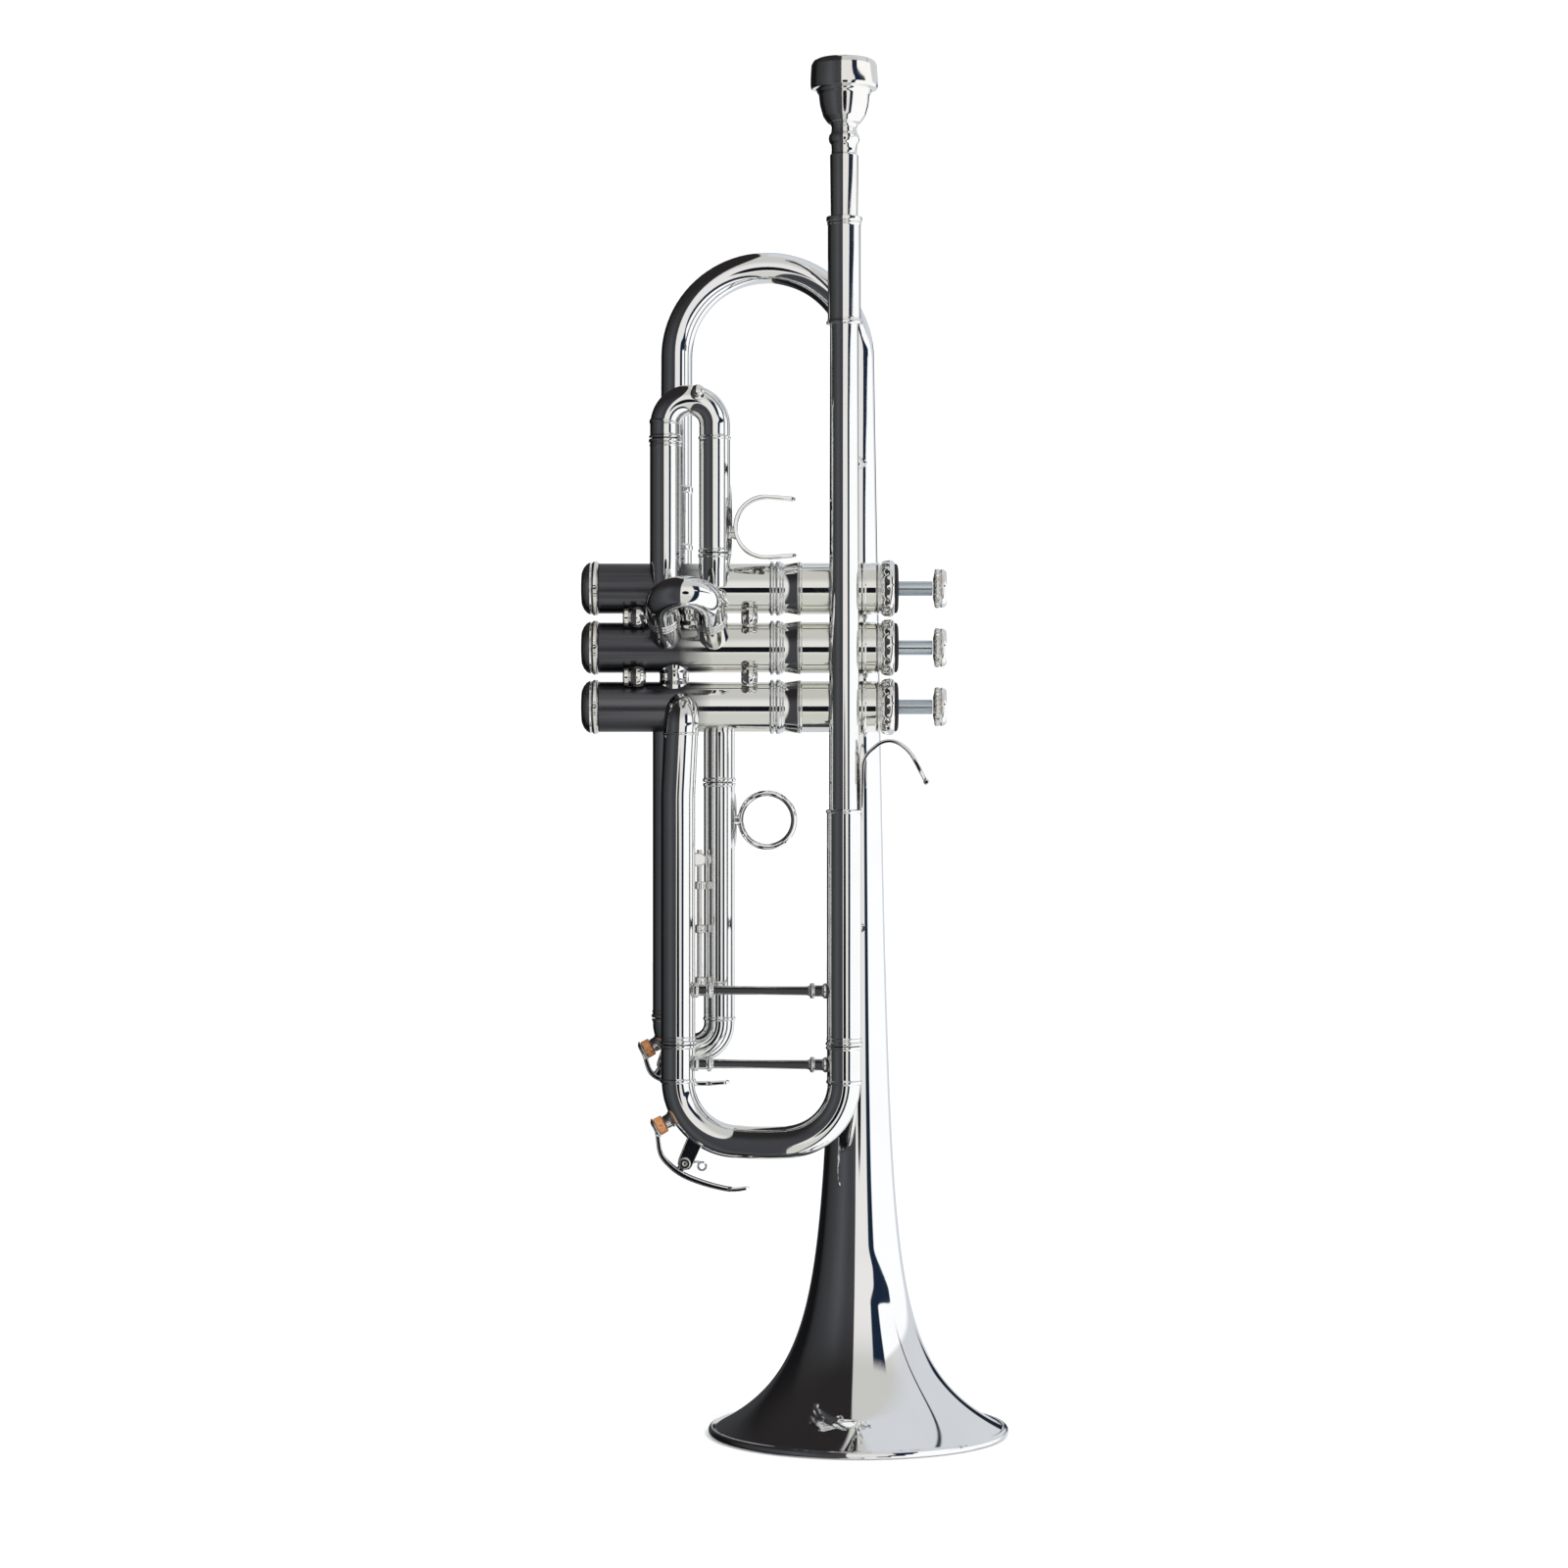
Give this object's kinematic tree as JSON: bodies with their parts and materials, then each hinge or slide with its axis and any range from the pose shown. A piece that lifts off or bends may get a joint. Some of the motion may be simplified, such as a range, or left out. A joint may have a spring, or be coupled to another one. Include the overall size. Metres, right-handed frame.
{
  "type": "trumpet",
  "caption": "Silver piston trumpet with bell, valves, moving slides, water keys and mouthpiece, standing on its bell rim.",
  "frame": {"origin": "under the middle of the part's box, on the lowest face of the bell rim", "axes": "+Z from the bell rim up to the mouthpiece, +X the way the finger buttons point, leadpipe on the -Y side"},
  "size_m": [0.1744, 0.1234, 0.5568],
  "materials": {
    "silver": "polished silver plate",
    "steel": "drawn stainless steel",
    "plated": "satin silver plate",
    "nickel_alloy": "lapped nickel alloy",
    "cork": "natural cork"
  },
  "bodies": {
    "horn": {"bell": "silver", "bell_rim_wire": "silver", "leadpipe": "silver", "mouthpiece_receiver": "silver", "tuning_sleeve_upper": "silver", "tuning_sleeve_lower": "silver", "tuning_brace_fixed": "silver", "valve_casing_1": "silver", "valve_casing_2": "silver", "valve_casing_3": "silver", "bottom_cap_1": "silver", "bottom_cap_2": "silver", "bottom_cap_3": "silver", "top_cap_1": "silver", "top_cap_2": "silver", "top_cap_3": "silver", "crossover_1_2": "silver", "crossover_2_3": "silver", "casing_post_1_2_low": "silver", "casing_post_1_2_high": "silver", "casing_post_2_3_low": "silver", "casing_post_2_3_high": "silver", "valve_guide_1": "plated", "valve_guide_2": "plated", "valve_guide_3": "plated", "valve_spring_1": "steel", "valve_spring_2": "steel", "valve_spring_3": "steel", "first_slide_sleeve": "silver", "first_slide_inner_tube": "silver", "second_slide_sleeve_low": "silver", "second_slide_sleeve_high": "silver", "third_slide_sleeve": "silver", "third_slide_inner_tube": "silver", "third_stop_rod": "silver", "pinky_hook": "silver", "bell_brace_upper": "silver", "bell_brace_lower": "silver"},
    "valve_1": {"piston_1": "nickel_alloy", "valve_stem_1": "steel", "finger_button_1": "plated"},
    "valve_2": {"piston_2": "nickel_alloy", "valve_stem_2": "steel", "finger_button_2": "plated"},
    "valve_3": {"piston_3": "nickel_alloy", "valve_stem_3": "steel", "finger_button_3": "plated"},
    "tuning_slide": {"tuning_crook": "silver", "tuning_brace_moving": "silver"},
    "water_key": {"water_key_lever": "silver", "water_key_cork": "cork"},
    "first_slide": {"first_slide_crook": "silver", "thumb_saddle": "silver"},
    "second_slide": {"second_slide_crook": "silver"},
    "third_slide": {"third_slide_crook": "silver", "finger_ring": "silver", "third_slide_stop_eye": "silver"},
    "third_water_key": {"third_water_key_lever": "silver", "third_water_key_cork": "cork"},
    "mouthpiece": {"mouthpiece": "silver"}
  },
  "joints": [
    {"name": "valve_1_press", "type": "slide", "parent": "horn", "child": "valve_1", "axis": [-1, 0, 0], "range_m": [0, 0.014], "stiffness_N_per_m": 100, "springref_m": -0.02, "deforming": ["valve_spring_1"]},
    {"name": "valve_2_press", "type": "slide", "parent": "horn", "child": "valve_2", "axis": [-1, 0, 0], "range_m": [0, 0.014], "stiffness_N_per_m": 100, "springref_m": -0.02, "deforming": ["valve_spring_2"]},
    {"name": "valve_3_press", "type": "slide", "parent": "horn", "child": "valve_3", "axis": [-1, 0, 0], "range_m": [0, 0.014], "stiffness_N_per_m": 100, "springref_m": -0.02, "deforming": ["valve_spring_3"]},
    {"name": "tuning_slide_pull", "type": "slide", "parent": "horn", "child": "tuning_slide", "axis": [0, 0, -1], "range_m": [0, 0.045]},
    {"name": "water_key_press", "type": "hinge", "parent": "tuning_slide", "child": "water_key", "pos_m": [-0.0452, -0.032, 0.1144], "axis": [0, -1, 0], "range_deg": [0, 18], "stiffness_Nm_per_rad": 0.08, "springref_deg": -14.32},
    {"name": "first_slide_pull", "type": "slide", "parent": "horn", "child": "first_slide", "axis": [0, 0, 1], "range_m": [0, 0.02]},
    {"name": "second_slide_pull", "type": "slide", "parent": "horn", "child": "second_slide", "axis": [-0.0748, -0.8457, 0.5284], "range_m": [0, 0.008]},
    {"name": "third_slide_pull", "type": "slide", "parent": "horn", "child": "third_slide", "axis": [0, 0, -1], "range_m": [0, 0.0135]},
    {"name": "third_water_key_press", "type": "hinge", "parent": "third_slide", "child": "third_water_key", "pos_m": [-0.0544, -0.012, 0.1526], "axis": [0, -1, 0], "range_deg": [0, 15], "stiffness_Nm_per_rad": 0.08, "springref_deg": -14.32},
    {"name": "mouthpiece_pull", "type": "slide", "parent": "horn", "child": "mouthpiece", "axis": [0, 0, 1], "range_m": [0, 0.03]}
  ]
}
